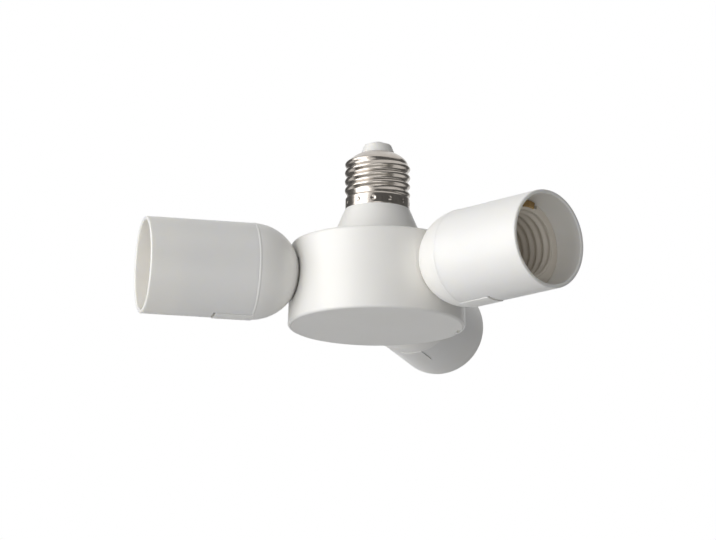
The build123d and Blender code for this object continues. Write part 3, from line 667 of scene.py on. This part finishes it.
class ADAPTER_OT_studio(Operator):
    """Set up the floor, the white surround, the lamps and the photograph's camera"""

    bl_idname = "adapter.studio"
    bl_label = "Set Up Studio"

    def execute(self, context):
        scene = context.scene
        settings = scene.adapter_studio
        scene.view_settings.view_transform = "Standard"
        aim = Vector((0, 0, settings.aim_height))
        self.lay_floor(settings)
        self.hang_curtains(settings)
        self.light_surround(scene, settings)
        self.lamp(scene, "key_softbox", *KEY_LAMP, settings.key, aim)
        self.lamp(scene, "fill_softbox", *FILL_LAMP, settings.fill, aim)
        self.place_camera(scene, settings, aim)
        return {"FINISHED"}

    def lay_floor(self, settings):
        """Painted board that gives light back to the object from below."""
        half = settings.floor_half
        rows = [[(-half, y, settings.floor), (half, y, settings.floor)] for y in (-half, half)]
        floor = mesh_object("studio_floor", rows, closed=False)
        # Flat paint: pale grey in the light it gives back, plain white in reflections
        paint = bpy.data.materials.new("floor_paint_rolled")
        tree = empty_tree(paint)
        seen = self.seen_directly(tree)
        grey = settings.floor_grey
        matte = node(tree, "ShaderNodeBsdfDiffuse", {"Color": (grey, grey, grey, 1.0)})
        white = node(tree, "ShaderNodeEmission", {"Color": (1.0, 1.0, 1.0, 1.0), "Strength": 1.0})
        mixed = node(tree, "ShaderNodeMixShader", {"Fac": seen})
        tree.links.new(matte.outputs["BSDF"], mixed.inputs[1])
        tree.links.new(white.outputs["Emission"], mixed.inputs[2])
        node(tree, "ShaderNodeOutputMaterial", {"Surface": mixed.outputs["Shader"]})
        floor.data.materials.append(paint)
        # The surround is as white, so the camera may go below the floor
        floor.visible_camera = False

    def hang_curtains(self, settings):
        """Grey curtains, which only the metal and the sheen of the plastic mirror."""
        # Woven cotton: an even grey without sheen, the dark side of a reflection
        cloth = bpy.data.materials.new("curtain_cotton_woven")
        tree = empty_tree(cloth)
        grey = settings.curtain_grey
        matte = node(tree, "ShaderNodeBsdfDiffuse", {"Color": (grey, grey, grey, 1.0)})
        node(tree, "ShaderNodeOutputMaterial", {"Surface": matte.outputs["BSDF"]})
        radius = settings.curtain_radius
        for name, first, last, top in CURTAINS:
            step = (last - first) / CURTAIN_COLUMNS
            arc = [radians(first + step * i) for i in range(CURTAIN_COLUMNS + 1)]
            ends = (settings.floor, top)
            rows = [[(radius * cos(a), radius * sin(a), z) for a in arc] for z in ends]
            curtain = mesh_object(name, rows, closed=False)
            curtain.data.materials.append(cloth)
            curtain.visible_camera = False
            curtain.visible_diffuse = False
            curtain.visible_shadow = False

    def light_surround(self, scene, settings):
        """Surround that is white where it is seen and softer where it lights the object."""
        world = bpy.data.worlds.new("white_surround")
        tree = empty_tree(world)
        seen = self.seen_directly(tree)
        span = {"Value": seen, "To Min": settings.ambient, "To Max": 1.0}
        strength = node(tree, "ShaderNodeMapRange", span).outputs["Result"]
        white = {"Color": (1.0, 1.0, 1.0, 1.0), "Strength": strength}
        sky = node(tree, "ShaderNodeBackground", white)
        node(tree, "ShaderNodeOutputWorld", {"Surface": sky.outputs["Background"]})
        scene.world = world

    def seen_directly(self, tree):
        """1 for rays from the camera, in reflections and through glass, else 0."""
        path = node(tree, "ShaderNodeLightPath")
        seen = path.outputs["Is Camera Ray"]
        for other in ("Is Glossy Ray", "Is Transmission Ray"):
            pair = {0: seen, 1: path.outputs[other]}
            seen = node(tree, "ShaderNodeMath", pair, operation="MAXIMUM").outputs["Value"]
        return seen

    def lamp(self, scene, name, direction, distance, width, height, power, aim):
        """Upright area lamp that faces the object."""
        light = bpy.data.lights.new(name, "AREA")
        light.shape = "RECTANGLE"
        light.size = width
        light.size_y = height
        light.energy = power
        item = bpy.data.objects.new(name, light)
        item.location = aim + direction.normalized() * distance
        item.rotation_euler = direction.to_track_quat("Z", "Y").to_euler()
        scene.collection.objects.link(item)

    def place_camera(self, scene, settings, aim):
        """Camera as fitted to the photograph, shifted so that the aim falls where it does there."""
        lens = bpy.data.cameras.new("photo_camera")
        lens.sensor_width = SENSOR_MM
        lens.lens = settings.lens
        lens.clip_end = CAMERA_REACH
        lens.shift_x = 0.5 - settings.aim_x / PHOTO_WIDTH
        lens.shift_y = (settings.aim_y - PHOTO_HEIGHT / 2) / PHOTO_WIDTH
        camera = bpy.data.objects.new("photo_camera", lens)
        azimuth, elevation = settings.azimuth, settings.elevation
        away = cos(elevation) * settings.distance
        height = sin(elevation) * settings.distance
        camera.location = aim + Vector((sin(azimuth) * away, -cos(azimuth) * away, height))
        level = Euler((pi / 2 - elevation, 0, azimuth)).to_matrix()
        camera.rotation_euler = (level @ Matrix.Rotation(settings.roll, 3, "Z")).to_euler()
        scene.collection.objects.link(camera)
        scene.camera = camera


class ADAPTER_PT_sidebar(Panel):
    """Lists the adapter's operators and settings"""

    bl_label = "Lamp Socket Adapter"
    bl_idname = "ADAPTER_PT_sidebar"
    bl_space_type = "VIEW_3D"
    bl_region_type = "UI"
    bl_category = "Adapter"

    def draw(self, context):
        for operator in OPERATORS:
            self.layout.operator(operator.bl_idname)
        for name in SETTINGS:
            group = getattr(context.scene, name)
            box = self.layout.box()
            box.label(text=group.__doc__)
            for field in group.bl_rna.properties.keys():
                if field not in ("rna_type", "name"):
                    box.prop(group, field)


OPERATORS = (
    ADAPTER_OT_housings,
    ADAPTER_OT_screw_shell,
    ADAPTER_OT_lamp_inserts,
    ADAPTER_OT_contacts,
    ADAPTER_OT_inner_parts,
    ADAPTER_OT_studio,
)
SETTINGS = {
    "adapter_finishes": AdapterFinishes,
    "adapter_seam_bead": SeamBeadSizes,
    "adapter_screw_shell": ScrewShellSizes,
    "adapter_lamp_insert": LampInsertSizes,
    "adapter_contact_hook": ContactHookSizes,
    "adapter_studio": StudioSettings,
}


def register():
    """Adds the classes and their settings to Blender."""
    for group in SETTINGS.values():
        bpy.utils.register_class(group)
    for name, group in SETTINGS.items():
        setattr(bpy.types.Scene, name, PointerProperty(type=group))
    for operator in OPERATORS:
        bpy.utils.register_class(operator)
    bpy.utils.register_class(ADAPTER_PT_sidebar)


def unregister():
    """Takes them out again."""
    bpy.utils.unregister_class(ADAPTER_PT_sidebar)
    for operator in reversed(OPERATORS):
        bpy.utils.unregister_class(operator)
    for name in SETTINGS:
        delattr(bpy.types.Scene, name)
    for group in reversed(SETTINGS.values()):
        bpy.utils.unregister_class(group)


def main():
    """Dresses the adapter and sets up the studio."""
    register()
    bpy.ops.adapter.housings()
    bpy.ops.adapter.screw_shell()
    bpy.ops.adapter.lamp_inserts()
    bpy.ops.adapter.contacts()
    bpy.ops.adapter.inner_parts()
    bpy.ops.adapter.studio()
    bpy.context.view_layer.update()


if __name__ == "__main__":
    main()
